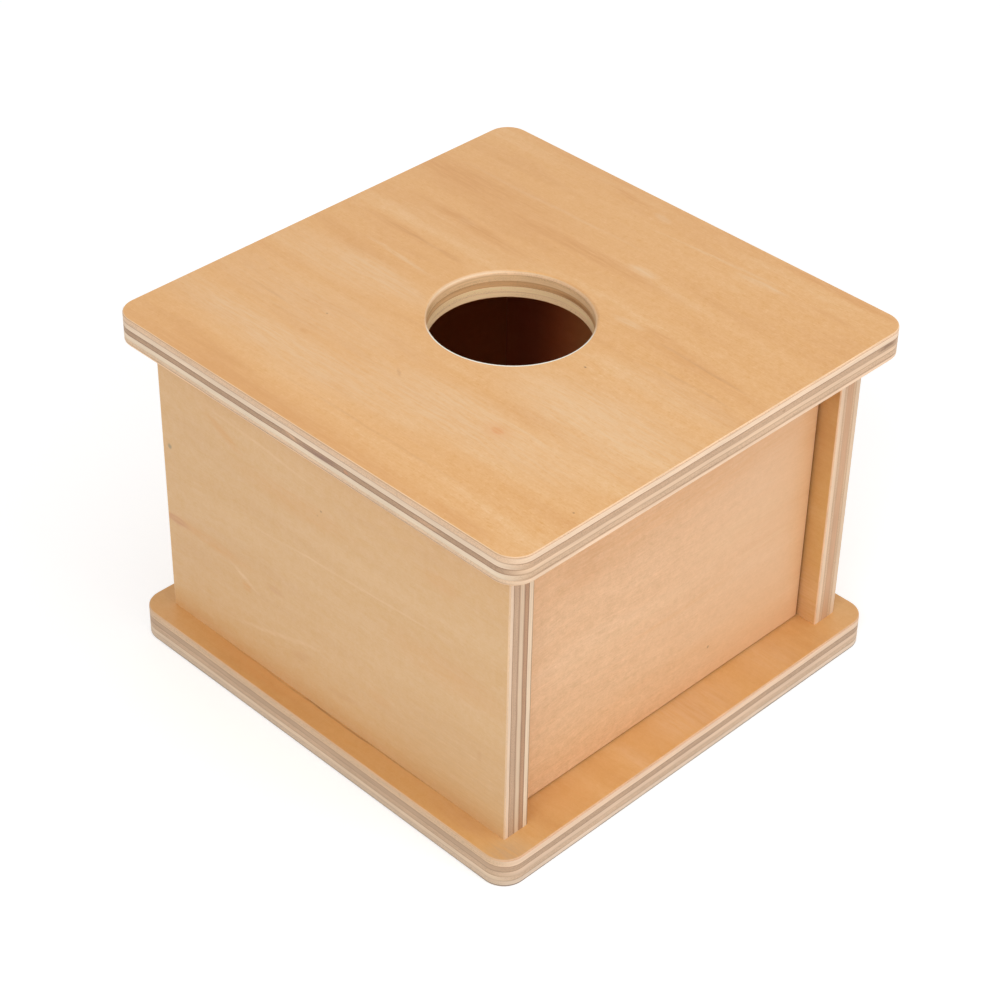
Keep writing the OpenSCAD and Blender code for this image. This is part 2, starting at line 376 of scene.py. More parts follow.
# The glue and the crushed fibres at the border of a darker ply: how wide the dark core is, how far it fades
# out, and what it leaves of the colour: plain, on smoother cuts, and on the smoothest and in the ball hole.
# A ply thinner than the last value has none.
GLUE_CORE = 0.12
GLUE_FADE = 0.42
GLUE_SHADE = (0.68, 0.6, 0.55)
SOFT_GLUE_SHADE = (0.8, 0.76, 0.73)
HOLE_GLUE_SHADE = (0.9, 0.87, 0.85)
THINNEST_GLUED = 0.5


def ply_stops(plies, colours, shade=None):
    """Ramp stops through a sheet, each ply in its colour. With a shade it darkens towards a lighter one."""
    total = sum(ply[0] for ply in plies)
    stops, depth = [], 0.0
    for number, (ply, colour) in enumerate(zip(plies, colours)):
        end = depth + ply[0]
        first, last = [(depth + BORDER, colour)], [(end - BORDER, colour)]
        if shade and ply[0] > THINNEST_GLUED:
            dark = (*(value * share for value, share in zip(colour, shade)), 1.0)
            if sum(colours[max(number - 1, 0)]) > sum(colour):
                first = [(depth + BORDER, dark), (depth + GLUE_CORE, dark), (depth + GLUE_FADE, colour)]
            if sum(colours[min(number + 1, len(plies) - 1)]) > sum(colour):
                last = [(end - GLUE_FADE, colour), (end - GLUE_CORE, dark), (end - BORDER, dark)]
        stops += [(place / total, stop) for place, stop in first + last]
        depth = end
    return stops


# Tones of the marks on the faces
PALE = tone(238, 200, 156)
CREAM = tone(226, 188, 148)
AMBER = tone(221, 160, 97)
ORANGE = tone(228, 152, 88)
# A neutral darker tone for painted shade
WALL_SHADE_TONE = tone(211, 167, 115)
BROWN = tone(206, 150, 100)
RUST = tone(204, 144, 104)
GREY = tone(196, 160, 124)
SPECK = tone(156, 112, 76)
DARK_SPECK = tone(138, 88, 50)
# The tone of a painted shadow line
FOOT_SHADOW_LINE = tone(150, 104, 62)
MOSS = tone(142, 132, 104)
# Tones of the marks in the plies, on the outer edges and in the ball hole
TORN = tone(134, 98, 70)
SMUDGE = tone(146, 112, 94)
CLEAN = tone(222, 178, 140)
HOLE_BROWN = tone(172, 116, 70)
HOLE_AMBER = tone(205, 162, 100)
HOLE_PALE = tone(240, 200, 148)

# Marks by tone: place across and along the grain, half width, half length, tilt, strength
TOP_MARKS = {
    PALE: (
        (-54, 30, 11, 80, 0, 0.55), (-44, -25, 15, 60, -2, 0.6), (-18, -52, 17, 46, -4, 0.6),
        (-36, 40, 16, 60, 0, 0.35), (-30, -60, 12, 30, 0, 0.4), (-16, 55, 11, 40, 0, 0.35),
        (-12, 42, 7, 34, 2, 0.55), (4, -58, 9, 34, 0, 0.35), (-53, 45, 5, 44, 0, 0.6),
        (-50.5, 18, 3, 36, 2, 0.5), (-36.5, -38, 1.6, 36, 0, 0.6), (-10.5, 30, 1.3, 9, 0, 0.4),
        (-9.5, 60, 1, 24, 0, 0.3), (-1, 44, 1.2, 19, 3, 0.5), (25.8, 44.5, 2.2, 4.6, 0, 0.6),
        (43.8, -9.5, 2.4, 8, -6, 0.65), (21.3, -24.5, 2, 8, -2, 0.6), (70, 6.5, 2.2, 5, 10, 0.6),
        (64.6, -20, 1, 32, -4, 0.45), (63.2, -37, 2, 12, -2, 0.6), (51, 35, 1, 46, -1, 0.35),
    ),
    AMBER: (
        (-77, 20, 9, 100, 0, 0.7), (-70.5, 45, 3.5, 26, 0, 0.7), (-75, -55, 3.5, 18, 0, 0.7),
        (44, 58, 11, 60, -3, 0.6), (43.5, 62, 8, 36, -5, 0.9), (39.5, 12, 4.2, 50, -1, 1.0),
        (22, 52, 8, 50, 0, 0.35), (25.5, 42, 3.4, 36, 2, 0.95), (74, 10, 7, 80, 0, 0.35),
        (25.5, 27, 2.6, 17, 2, 0.5), (9.5, 55, 2.4, 20, 2, 1.0), (9.6, 34, 1.6, 8, 0, 0.9),
        (17.5, -52, 3.4, 34, 2, 0.55), (22.5, -36, 2.4, 9, 0, 0.75), (71.8, 20, 2.4, 13, 3, 0.9),
        (75.5, -55, 2.8, 32, 0, 0.9), (76, 40, 3, 40, 0, 0.5), (64, -62, 1.6, 12, 0, 0.6),
        (-46, 34, 1.4, 2.4, 0, 0.7),
    ),
    ORANGE: ((-41, -36, 2.4, 3.4, 0, 0.8), (-41, -36, 5, 7, 0, 0.3)),
    BROWN: (
        (19, -55, 0.9, 28, 2, 0.4), (9.4, 46, 0.8, 24, 0, 0.2), (-39.5, 57, 0.7, 12, 0, 0.4),
        (10.5, -56, 0.8, 26, 0, 0.35), (-64, -10, 0.7, 60, 0, 0.25), (-41, 1.5, 0.7, 3, 35, 0.6),
    ),
    DARK_SPECK: (
        (-3.6, -31.4, 0.45, 0.6, 0, 0.9), (-52, -74, 0.4, 0.5, 0, 0.7), (-36, 36, 0.4, 0.5, 0, 0.5),
    ),
}
LEFT_WALL_MARKS = {
    AMBER: (
        (87, 42, 2.4, 11, 23, 0.5), (79, 12, 6, 32, 0, 0.3), (55, -48, 8, 32, 0, 0.3),
        (44, 50, 3, 24, 0, 0.5), (84, -45, 4, 10, 0, 0.35), (36.5, 35, 2.8, 3, 0, 0.6),
        (29, -21, 3, 6, 0, 0.35),
    ),
    # Painted shade: the wall is drawn darker low down and towards the front
    WALL_SHADE_TONE: ((20, -52, 34, 46, 0, 0.6),),
    RUST: ((43.5, 66, 2, 8, 0, 0.85), (42.5, 22, 1.8, 5, 0, 0.4)),
    BROWN: ((24.5, 12, 2.6, 6, -15, 0.35), (20.5, -5, 1.6, 9, -8, 0.35), (34, -60, 2.6, 1.4, 0, 0.35)),
    PALE: (
        (64, -8, 0.7, 60, -4.4, 0.5), (91, 25, 0.8, 36, 4.6, 0.45), (71, -10, 4, 52, 0, 0.2),
        (39.5, 36, 1.1, 9, 25, 0.6), (26.5, 22, 1.1, 28, -16, 0.5), (58, 40, 4, 30, 0, 0.15),
    ),
    MOSS: ((70, 66.7, 1.3, 1.2, 0, 0.9),),
    SPECK: ((82.1, 1.5, 0.5, 0.6, 0, 0.7), (80, 3, 0.4, 0.5, 0, 0.5)),
}
FLAP_MARKS = {
    AMBER: ((43.5, 5, 1.6, 34, -1, 0.25), (86, 0, 13, 90, 0, 0.42), (84, 60, 14, 16, 0, 0.3)),
    BROWN: ((82, -35, 9, 14, 0, 0.3),),
    PALE: ((50, -18, 4, 44, 0, 0.2), (48.5, 42, 1.4, 22, 0, 0.3), (60, 30, 8, 30, 0, 0.2)),
    SPECK: ((22.1, 19.1, 0.7, 0.6, 0, 0.9),),
}
BASE_MARKS = {
    # The amber mark at -72 and the brown mark are painted shade on the base's strip beside the left wall
    AMBER: ((-72, 30, 4, 30, 0, 0.5), (-45, -70, 14, 12, 0, 0.3)),
    BROWN: ((-73, -56, 4, 16, 0, 0.4),),
    CREAM: ((-20, -72, 4, 10, 0, 0.3), (6, -70, 24, 12, 0, 0.45), (40, -70, 14, 12, 0, 0.3)),
    GREY: ((-74, -75, 11, 9, 0, 0.6),),
    # A painted shadow where the left wall meets the base
    FOOT_SHADOW_LINE: ((-70.2, -4, 0.5, 66, 0, 0.7),),
}
# Painted shade and light on the right wall's inner face, in front of the flap: darker at the top under the
# top board, and paler low down
RECESS_LIGHT_AND_SHADE_MARKS = {
    BROWN: ((84, -66, 30, 14, 0, 0.3),),
    PALE: ((16, -66, 20, 14, 0, 0.45),),
}
# Marks in the top board's edges: depth and place along the edge, half height, half length, tilt, strength
EDGE_MARKS = {
    "-y": {
        SPECK: ((3.5, 24, 0.45, 0.9, 0, 0.95),),
        TORN: ((3.2, 68, 0.9, 5.5, 0, 1.0),),
    },
    "-x": {
        SMUDGE: ((4.9, -7, 1.4, 11, 0, 0.9),),
        CLEAN: ((4.2, 4, 0.8, 4, -14, 0.8), (4.9, -48, 1.1, 7, 0, 0.6)),
        RUST: ((4.7, -17.5, 0.9, 1.4, 0, 0.8),),
    },
}
# Marks in the ball hole's wall, in the same way
HOLE_MARKS = {
    "-x": {HOLE_BROWN: ((4.35, -5, 1.05, 12, 0, 0.85),)},
    "-y": {
        HOLE_AMBER: ((2.0, -16, 1.6, 10, 0, 0.6),),
        HOLE_PALE: ((4.2, -4, 0.8, 13, 0, 0.5),),
    },
}

# Painted shade behind the flap, which draws the wood duller and redder there: what it leaves of the colour,
# and how soft its border is at the chamber's corners
CHAMBER_PAINTED_SHADE = (0.74, 0.42, 0.34, 1)
PAINTED_SHADE_BORDER = 0.6
# Where the painted shade sets in and is full, behind the flap's face, and behind the front edge of a side
# wall
PAINTED_SHADE_RUN = (0.6, 2.4)
WALL_PAINTED_SHADE_RUN = (1, 10)
# The side walls carry painted light and shade: less shade in front, and a painted lift of their red near
# Y 28. Place on the Y axis, and what is left of their colour there, in shares of its peak
SIDE_LIGHT_PEAK = 1.25
SIDE_LIGHT_AND_SHADE = (
    (10, 0.73, 0.64, 0.62), (28, 1, 0.61, 0.53), (33, 0.97, 0.51, 0.45), (38, 0.84, 0.385, 0.345),
    (43, 0.635, 0.26, 0.245), (48, 0.515, 0.213, 0.225), (54, 0.485, 0.202, 0.2), (61, 0.54, 0.24, 0.216),
)

# How far a mark's outline wavers
MARK_WAVER = 0.8
# How far the borders of the plies sway, and how near a face they stay straight
PLY_SWAY = 0.16
STEADY_PLY = 0.6
# How far from the hole's middle the cut plies belong to the hole
BORED_REACH = 40
# How deep the face veneer's tone reaches over a rim, and over the ball hole's wider rim
RIM_TURN = (0.0, 0.04)
HOLE_RIM_TURN = (0.15, 0.45)
# The roughness of the lacquer on a face and on a cut edge, and how much smoother hands have rubbed the rims
LACQUER_GLOSS = (0.42, 0.55)
RIM_POLISH = 0.16
# How far the rounding of the hole's upper rim reaches, and the white of the painted highlight on it
RIM_WIDTH = 1.1
RIM_HIGHLIGHT = tone(255, 250, 234)
# The directions from the hole's middle of the painted highlight: sharply towards the corner of the flap and
# the left wall, softly behind; and how strong the soft highlight is, and the painted shade between them
RIM_HIGHLIGHT_SIDE = (-0.725, -0.688)
RIM_SOFT_HIGHLIGHT_SIDE = (0.174, 0.985)
RIM_SOFT_HIGHLIGHT = 0.25
RIM_SHADE = 0.28


def marked(steps, marks, place, colour, where):
    """The colour with each tone's marks laid over it, and only where the mask is 1."""
    if not marks:
        return colour
    frayed = steps.span(steps.noise(place, (1.2, 0.09, 1), detail=4, roughness=0.7), 0.38, 0.6, 0.3, 1.0)
    for mark_tone, spots in marks.items():
        total = 0.0
        for across, along, half_width, half_length, tilt, strength in spots:
            mask = steps.use(
                "mark", place=place, centre=(across, along, 0), size=(half_width, half_length, 1),
                tilt=math.radians(tilt), strength=strength,
            )["Mask"]
            total = steps.math("MAXIMUM", total, mask)
        colour = steps.mix(steps.product(total, frayed, where), colour, mark_tone)
    return colour


class Board:
    """Where a point lies on one board, as outputs in mm, and which way the board's layers and grain run.

    depth is the direction in which the thickness runs from the outer face, such as "-z", and grain the axis
    of that face's grain. radius is the distance from the ball hole's middle, for the top board.
    """

    def __init__(self, surface, node, depth, grain):
        steps = surface.steps
        low, high = (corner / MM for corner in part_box(node))
        self.node = node
        self.through = "xyz".index(depth[-1])
        self.along = "xyz".index(grain)
        self.across = 3 - self.through - self.along
        self.thickness = high[self.through] - low[self.through]
        self.spot = steps.separate(surface.place)
        self.facing = steps.separate(surface.normal)
        level = self.spot[self.through]
        if depth[0] == "-":
            self.deep = steps.math("SUBTRACT", high[self.through], level)
        else:
            self.deep = steps.math("SUBTRACT", level, low[self.through])
        self.inner = steps.math("GREATER_THAN", self.deep, self.thickness / 2)
        self.flat = steps.combine(self.spot[self.across], self.spot[self.along])
        self.radius = steps.length(self.flat)
        self.bored = 0.0
        if node == "top_board":
            self.bored = steps.math("LESS_THAN", self.radius, BORED_REACH)
        self.solid = steps.math("SUBTRACT", 1.0, self.bored)


def with_painted_chamber_shade(steps, board, colour):
    """The colour with painted shade in the chamber behind the flap, and painted light on its side walls."""
    side = board.node in ("left_wall", "right_wall")
    front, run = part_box("front_flap")[0].y, PAINTED_SHADE_RUN
    if side:
        front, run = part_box(board.node)[0].y, WALL_PAINTED_SHADE_RUN
    low = (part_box("left_wall")[1].x, front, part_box("base_board")[1].z)
    high = (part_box("right_wall")[0].x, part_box("back_wall")[0].y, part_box("top_board")[0].z)
    mask = 1.0
    for axis, value in enumerate(board.spot):
        first, last = low[axis] / MM, high[axis] / MM
        if axis == 1:
            enters = steps.ease(value, first + run[0], first + run[1])
        else:
            enters = steps.ease(value, first - PAINTED_SHADE_BORDER, first - PAINTED_SHADE_BORDER / 2)
        leaves = steps.ease(value, last + PAINTED_SHADE_BORDER, last + PAINTED_SHADE_BORDER / 2)
        mask = steps.product(mask, enters, leaves)
    if not side:
        return steps.mix(mask, colour, CHAMBER_PAINTED_SHADE, blend="MULTIPLY")
    start, end = SIDE_LIGHT_AND_SHADE[0][0], SIDE_LIGHT_AND_SHADE[-1][0]
    stops = [((place - start) / (end - start), (*left_over, 1)) for place, *left_over in SIDE_LIGHT_AND_SHADE]
    side_light_and_shade = steps.lit(steps.ramp(steps.span(board.spot[1], start, end), stops), SIDE_LIGHT_PEAK)
    return steps.mix(mask, colour, steps.vector("MULTIPLY", colour, side_light_and_shade))


def veneer_face(steps, board, tones, marks=(), inner_shaded_tones=None, inner_marks=(), bands=0.6, fibres=1.3,
                flecks=0.3, mottle=1.5, warmth=0.9, calm=None):
    """The colour and the height of a board's two faces.

    tones are the veneer's ground, band and pale tones, and inner_shaded_tones those of the inner face, drawn
    darker as painted shade. marks lie on the outer face and inner_marks on the inner one. The values from
    bands to warmth say how strong each part of the figure is. calm is an axis, two places on it, and the
    share of the fine figure that is left at the second.
    """
    if calm:
        axis, start, end, left_over = calm
        fine = steps.span(board.spot[axis], start, end, 1, left_over)
        fibres, flecks, mottle = (steps.product(fine, value) for value in (fibres, flecks, mottle))
    # A seed of its own for each board's lie and each face, so that no two show the same figure
    seed = steps.total(steps.product(board.inner, 31.0), float(7 * board.through + 3 * board.along))
    place = steps.combine(board.spot[board.across], board.spot[board.along], seed)
    ground, band, pale = (steps.mix(board.inner, outside, inside)
                          for outside, inside in zip(tones, inner_shaded_tones or tones))
    figure = steps.use(
        "figure", place=place, ground=ground, band=band, pale=pale,
        bands=bands, fibres=fibres, flecks=flecks, mottle=mottle, warmth=warmth,
    )
    waver = steps.swing(steps.noise(place, (0.05, 0.03, 1), detail=3), MARK_WAVER)
    mark_place = steps.vector("ADD", board.flat, steps.combine(waver))
    outer = steps.math("SUBTRACT", 1.0, board.inner)
    colour = marked(steps, marks, mark_place, figure["Colour"], outer)
    colour = marked(steps, inner_marks, mark_place, colour, board.inner)
    return with_painted_chamber_shade(steps, board, colour), figure["Height"]


def ply_tones(steps, share, plies, shade):
    """The plies' colours at a share of the thickness, where they are cut along and across their grain."""
    return [steps.ramp(share, ply_stops(plies, [tone(*ply[column]) for ply in plies], shade))
            for column in (CUT_ALONG, CUT_ACROSS)]


def cut_edge(steps, board, plies, glue=GLUE_SHADE, marks=(), lean=0.0, lit_hole_plies=None, hole_marks=()):
    """The colour and the height of a board's cut edges, where its plies show.

    marks maps the direction of an edge, such as "-y", to its marks. lean is how much the plies rise along X
    and fall along Y. lit_hole_plies and hole_marks are the plies as the round hole shows them, drawn brighter
    as painted light, and the marks in its wall.
    """
    deep, thickness = board.deep, board.thickness
    place = steps.combine(board.spot[board.across], board.spot[board.along], deep)
    sway = steps.swing(steps.noise(place, (0.035, 0.035, 0.02), detail=3, roughness=0.6), PLY_SWAY)
    slope = steps.product(steps.math("SUBTRACT", board.spot[1], board.spot[0]), lean)
    below_face = steps.span(deep, 0, STEADY_PLY)
    above_back = steps.span(deep, thickness, thickness - STEADY_PLY)
    sway = steps.product(steps.total(sway, slope), steps.product(below_face, above_back))
    share = steps.math("DIVIDE", steps.total(deep, sway), thickness)

    towards_along = steps.product(board.facing[board.along], board.facing[board.along])
    towards_across = steps.math("SUBTRACT", 1.0, towards_along)
    # White where a ply's grain runs with the face veneer, and black where it crosses it
    with_face = [(float(ply[1]),) * 3 + (1.0,) for ply in plies]
    ends = steps.mix(steps.ramp(share, ply_stops(plies, with_face)), towards_across, towards_along)
    tones = ply_tones(steps, share, plies, glue)
    if lit_hole_plies:
        lit_hole_tones = ply_tones(steps, share, lit_hole_plies, HOLE_GLUE_SHADE)
        tones = [steps.mix(board.bored, *pair) for pair in zip(tones, lit_hole_tones)]
    colour = steps.mix(ends, *tones)
    for where, directions in ((board.solid, dict(marks)), (board.bored, dict(hole_marks))):
        for direction, spots in directions.items():
            axis = "xyz".index(direction[-1])
            sign = -1.0 if direction[0] == "-" else 1.0
            seen = steps.product(steps.ease(steps.product(board.facing[axis], sign), 0.5, 0.8), where)
            run = board.along if axis == board.across else board.across
            colour = marked(steps, spots, steps.combine(deep, board.spot[run]), colour, seen)
    cut = steps.use("edge", place=place, colour=colour, ends=ends)
    return cut["Colour"], cut["Height"]


def rim_light_and_shade(steps, board, colour):
    """The ball hole's rim with painted light: a pale highlight in front, and duller painted shade behind."""
    hole = next(mount for mount in frame["record"]["mounts"] if mount["name"] == "ball_hole")
    start = hole["dims"]["r_mm"]
    shares = []
    for side in (RIM_HIGHLIGHT_SIDE, RIM_SOFT_HIGHLIGHT_SIDE):
        towards = steps.total(steps.product(board.spot[0], side[0]), steps.product(board.spot[1], side[1]))
        shares.append(steps.math("DIVIDE", towards, board.radius))
    front, back = shares
    near = steps.ease(board.radius, start + RIM_WIDTH, start + RIM_WIDTH / 2)
    upper = steps.product(steps.ease(board.deep, 0.7, 0.4), near)
    between_shade = steps.product(steps.ease(back, 0.65, 0.2), steps.ease(front, 0.2, 0.0), RIM_SHADE)
    colour = steps.mix(steps.product(upper, between_shade), colour, BROWN)
    pale = steps.product(upper, steps.ease(back, 0.7, 1.0), RIM_SOFT_HIGHLIGHT)
    colour = steps.mix(pale, colour, RIM_HIGHLIGHT)
    reach = steps.span(front, 0, 1, start + RIM_WIDTH / 2, start + RIM_WIDTH + 0.2)
    inside = steps.ease(steps.math("SUBTRACT", board.radius, reach), 0.0, -0.12)
    ring = steps.product(inside, steps.ease(board.deep, 0.6, 0.4))
    return steps.mix(steps.product(ring, steps.ease(front, 0.1, 0.5)), colour, RIM_HIGHLIGHT)


def plywood(name, node, depth, grain, veneer, layers):
    """Lacquered plywood for one board. veneer says how its faces look, and layers how its cut edges look."""
    surface = Surface(name)
    steps = surface.steps
    board = Board(surface, node, depth, grain)
    face, face_height = veneer_face(steps, board, **veneer)
    cut, cut_height = cut_edge(steps, board, **layers)
    to_face = steps.math("MINIMUM", board.deep, steps.math("SUBTRACT", board.thickness, board.deep))
    on_edge = steps.mix(board.bored, steps.ease(to_face, *RIM_TURN), steps.ease(to_face, *HOLE_RIM_TURN))
    colour = steps.mix(on_edge, face, cut)
    if node == "top_board":
        colour = rim_light_and_shade(steps, board, colour)
    height = steps.mix(on_edge, face_height, cut_height)
    level = steps.product(board.facing[board.through], board.facing[board.through])
    rounded = steps.product(steps.ease(level, 0.995, 0.9), steps.ease(level, 0.02, 0.1), board.solid)
    gloss = steps.total(steps.span(on_edge, 0, 1, *LACQUER_GLOSS), steps.product(rounded, -RIM_POLISH))
    return surface.finish(colour, gloss, height, strength=0.25, depth=0.03)


def scratches():
    """Fine grinding or rolling lines. Place is in mm, and Scale has the waves per mm along each axis."""
    inputs = {"Place": "vector", "Scale": "vector"}
    steps, given, result = new_group("scratches", inputs, {"Shade": "value", "Height": "value"})
    lines = steps.noise(given["Place"], given["Scale"], detail=4)
    stains = steps.noise(given["Place"], (0.5, 0.5, 0.5), detail=3)
    steps.feed(result["Shade"], steps.total(steps.swing(lines, 0.5), steps.swing(stains, 0.5)))
    steps.feed(result["Height"], lines)
    return steps.tree


def scratched_metal(name, scale, tones, gloss, drift=None):
    """Metal with fine lines.

    tones are its dark and light colours, and gloss is its roughness from one to the other. drift is a third
    tone, which comes and goes in patches.
    """
    surface = Surface(name, metallic=1.0)
    steps, place = surface.steps, surface.place
    marks = steps.use("scratches", place=place, scale=scale)
    share = steps.span(marks["Shade"], -1, 1)
    colour = steps.mix(share, *tones)
    if drift:
        patches = steps.span(steps.noise(place, (0.7, 0.7, 0.7), detail=2), 0.35, 0.65)
        colour = steps.mix(patches, colour, drift)
    return surface.finish(colour, steps.span(share, 0, 1, *gloss), marks["Height"], strength=0.3, depth=0.02)


def turned_beech(name, axis):
    """Bare beech rod along an axis: pink brown with short dark flecks along it, and pores in its ends."""
    surface = Surface(name)
    steps, place = surface.steps, surface.place
    along = "xyz".index(axis)
    first, second = (other for other in range(3) if other != along)
    spot = steps.separate(place)
    rod = steps.combine(steps.total(spot[first], spot[second]), spot[along], spot[first])
    figure = steps.use(
        "figure", place=rod, ground=tone(210, 168, 124), band=tone(190, 144, 100),
        pale=tone(226, 190, 150), bands=0.6, fibres=3.0, flecks=2.5,
    )
    facing = steps.separate(surface.normal)[along]
    ends = steps.ease(steps.product(facing, facing), 0.5, 0.8)
    cut = steps.use("edge", place=place, colour=figure["Colour"], ends=ends)
    return surface.finish(cut["Colour"], 0.62, cut["Height"], strength=0.3, depth=0.05)


def dress(node, material):
    """Gives a CAD node its material."""
    materials = frame["nodes"][node].data.materials
    materials.clear()
    materials.append(material)


def grid_quads(index, closed=True):
    """Quads between the rows of a grid of vertex numbers. A closed row joins its last number to its first."""
    after = np.roll(index, -1, axis=1)
    quads = np.stack([index[:-1], after[:-1], after[1:], index[1:]], -1)
    return (quads if closed else quads[:, :-1]).reshape(-1, 4)


def turned_rings(radius, angle, z):
    """Rings of points round Z, with a radius for each height and angle, and the grid of their numbers."""
    rings = np.stack([radius * np.cos(angle), radius * np.sin(angle), z[:, None] + 0 * radius], -1)
    return rings.reshape(-1, 3), np.arange(radius.size).reshape(radius.shape)


def fan(row, middle):
    """Triangles from a closed row of vertex numbers to one middle vertex beyond the last row."""
    return np.stack([row, np.roll(row, -1), np.full(len(row), middle)], -1)


# The angle between two faces from which their edge looks sharp
SHARP_ANGLE = 35


def build_piece(name, parts, body, node, material):
    """One piece from several (points in mm, list of face arrays) parts, which replaces a CAD node."""
    points, faces, start = [], [], 0
    for part_points, part_faces in parts:
        points.append(part_points)
        for block in part_faces:
            faces.extend((block + start).tolist())
        start += len(part_points)
    mesh = bpy.data.meshes.new(name)
    mesh.from_pydata((np.concatenate(points) * MM).tolist(), [], faces)
    mesh.polygons.foreach_set("use_smooth", np.ones(len(mesh.polygons), bool))
    mesh.set_sharp_from_angle(angle=math.radians(SHARP_ANGLE))
    mesh.materials.append(material)
    piece = put_in_scene(name, mesh)
    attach(piece, body)
    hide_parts(node)


# Dowels: the flutes round one, how deep they are and how far they stay off its ends
DOWEL_RADIUS = 2.5
DOWEL_BEVEL = 0.6
FLUTES = 16
FLUTE_DEPTH = 0.22
FLUTE_RUNOUT = 1.2
POINTS_PER_FLUTE = 8
# How far from an end the rings of points near it lie, and the start and number of the even rings between
DOWEL_END_RINGS = (0, DOWEL_BEVEL / 2, DOWEL_BEVEL, 1.0, 1.4, 1.8, 2.2)
DOWEL_PLAIN_START = 3
DOWEL_PLAIN_RINGS = 6


def fluted_dowel(length):
    """A dowel along Z from 0 to length.

    Its radius at angle a and height z is the rod's radius, less the end bevel, less the flute depth times the
    square of sin(flutes * a / 2) times a window that fades out towards both ends.
    """
    angle = np.linspace(0, 2 * np.pi, FLUTES * POINTS_PER_FLUTE, endpoint=False)
    near_end = np.array(DOWEL_END_RINGS)
    plain = np.linspace(DOWEL_PLAIN_START, length - DOWEL_PLAIN_START, DOWEL_PLAIN_RINGS)
    z = np.concatenate([near_end, plain, length - near_end[::-1]])
    to_end = np.minimum(z, length - z)
    outer = DOWEL_RADIUS - np.clip(DOWEL_BEVEL - to_end, 0, None)
    window = np.clip((to_end - DOWEL_BEVEL) / FLUTE_RUNOUT, 0, 1)
    window = window * window * (3 - 2 * window)
    flute = FLUTE_DEPTH * np.sin(FLUTES * angle / 2) ** 2
    rings, index = turned_rings(outer[:, None] - window[:, None] * flute, angle, z)
    points = np.concatenate([rings, [(0, 0, 0), (0, 0, length)]])
    foot, head = len(points) - 2, len(points) - 1
    return points, [grid_quads(index), fan(index[0][::-1], foot), fan(index[-1], head)]


def lay_row(name, node, axis, run, count, radius, shape, material):
    """One node's joints as one piece: copies of a shape that point along axis, in a row along run."""
    low, high = (np.array(corner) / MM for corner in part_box(node))
    points, faces = shape(high[axis] - low[axis])
    turned = np.roll(points, axis - 2, axis=1)
    feet = np.tile((low + high) / 2, (count, 1))
    feet[:, run] = np.linspace(low[run] + radius, high[run] - radius, count)
    feet[:, axis] = low[axis]
    build_piece(name, [(turned + foot, faces) for foot in feet], "case", node, material)


def lay_dowels(name, node, axis, run, count, material):
    """The dowels of one node, which point along axis and stand in a row along run."""
    lay_row(name, node, axis, run, count, DOWEL_RADIUS, fluted_dowel, material)


# Screws: head, plain shank, thread and point
HEAD_RADIUS = 3.0
SHANK_RADIUS = 1.2
CORE_RADIUS = 0.95
CREST_RADIUS = 1.5
PLAIN_LENGTH = 8
POINT_LENGTH = 3
TIP_RADIUS = 0.1
THREAD_PITCH = 1.35
THREAD_SHARE = 0.3
RINGS_PER_TURN = 10
SLOT_LENGTH = 3.2
SLOT_WIDTH = 0.7
SLOT_DEPTH = 1.0
SLOT_WALL = 0.08
SLOT_SLOPE = 0.7
# How far from the middle of the head its grid lines lie
HEAD_GRID = (
    0, SLOT_WIDTH / 2 - SLOT_WALL, SLOT_WIDTH / 2, SLOT_WIDTH / 2 + 0.15, 0.7,
    SLOT_LENGTH / 2 - SLOT_SLOPE / 2, SLOT_LENGTH / 2, 2.1, 2.55, HEAD_RADIUS,
)


def screw_face():
    """The head's flat face with its cross slot, as a grid over a square that is pressed into a disc.

    With u and v from -1 to 1, x = r u sqrt(1 - v^2 / 2) and y = r v sqrt(1 - u^2 / 2). The depth is the
    greater of two arms, each the slot's depth times a steep wall across the arm and a slope towards its end.
    """
    half_line = np.array(HEAD_GRID) / HEAD_RADIUS
    line = np.concatenate([-half_line[:0:-1], half_line])
    u, v = np.meshgrid(line, line, indexing="ij")
    x = HEAD_RADIUS * u * np.sqrt(1 - v ** 2 / 2)
    y = HEAD_RADIUS * v * np.sqrt(1 - u ** 2 / 2)

    def arm(far, near):
        across = np.clip((SLOT_WIDTH / 2 - np.abs(near) * HEAD_RADIUS) / SLOT_WALL, 0, 1)
        ending = np.clip((SLOT_LENGTH / 2 - np.abs(far) * HEAD_RADIUS) / SLOT_SLOPE, 0, 1)
        return across * ending

    depth = SLOT_DEPTH * np.maximum(arm(u, v), arm(v, u))
    return np.stack([x, y, depth], -1)


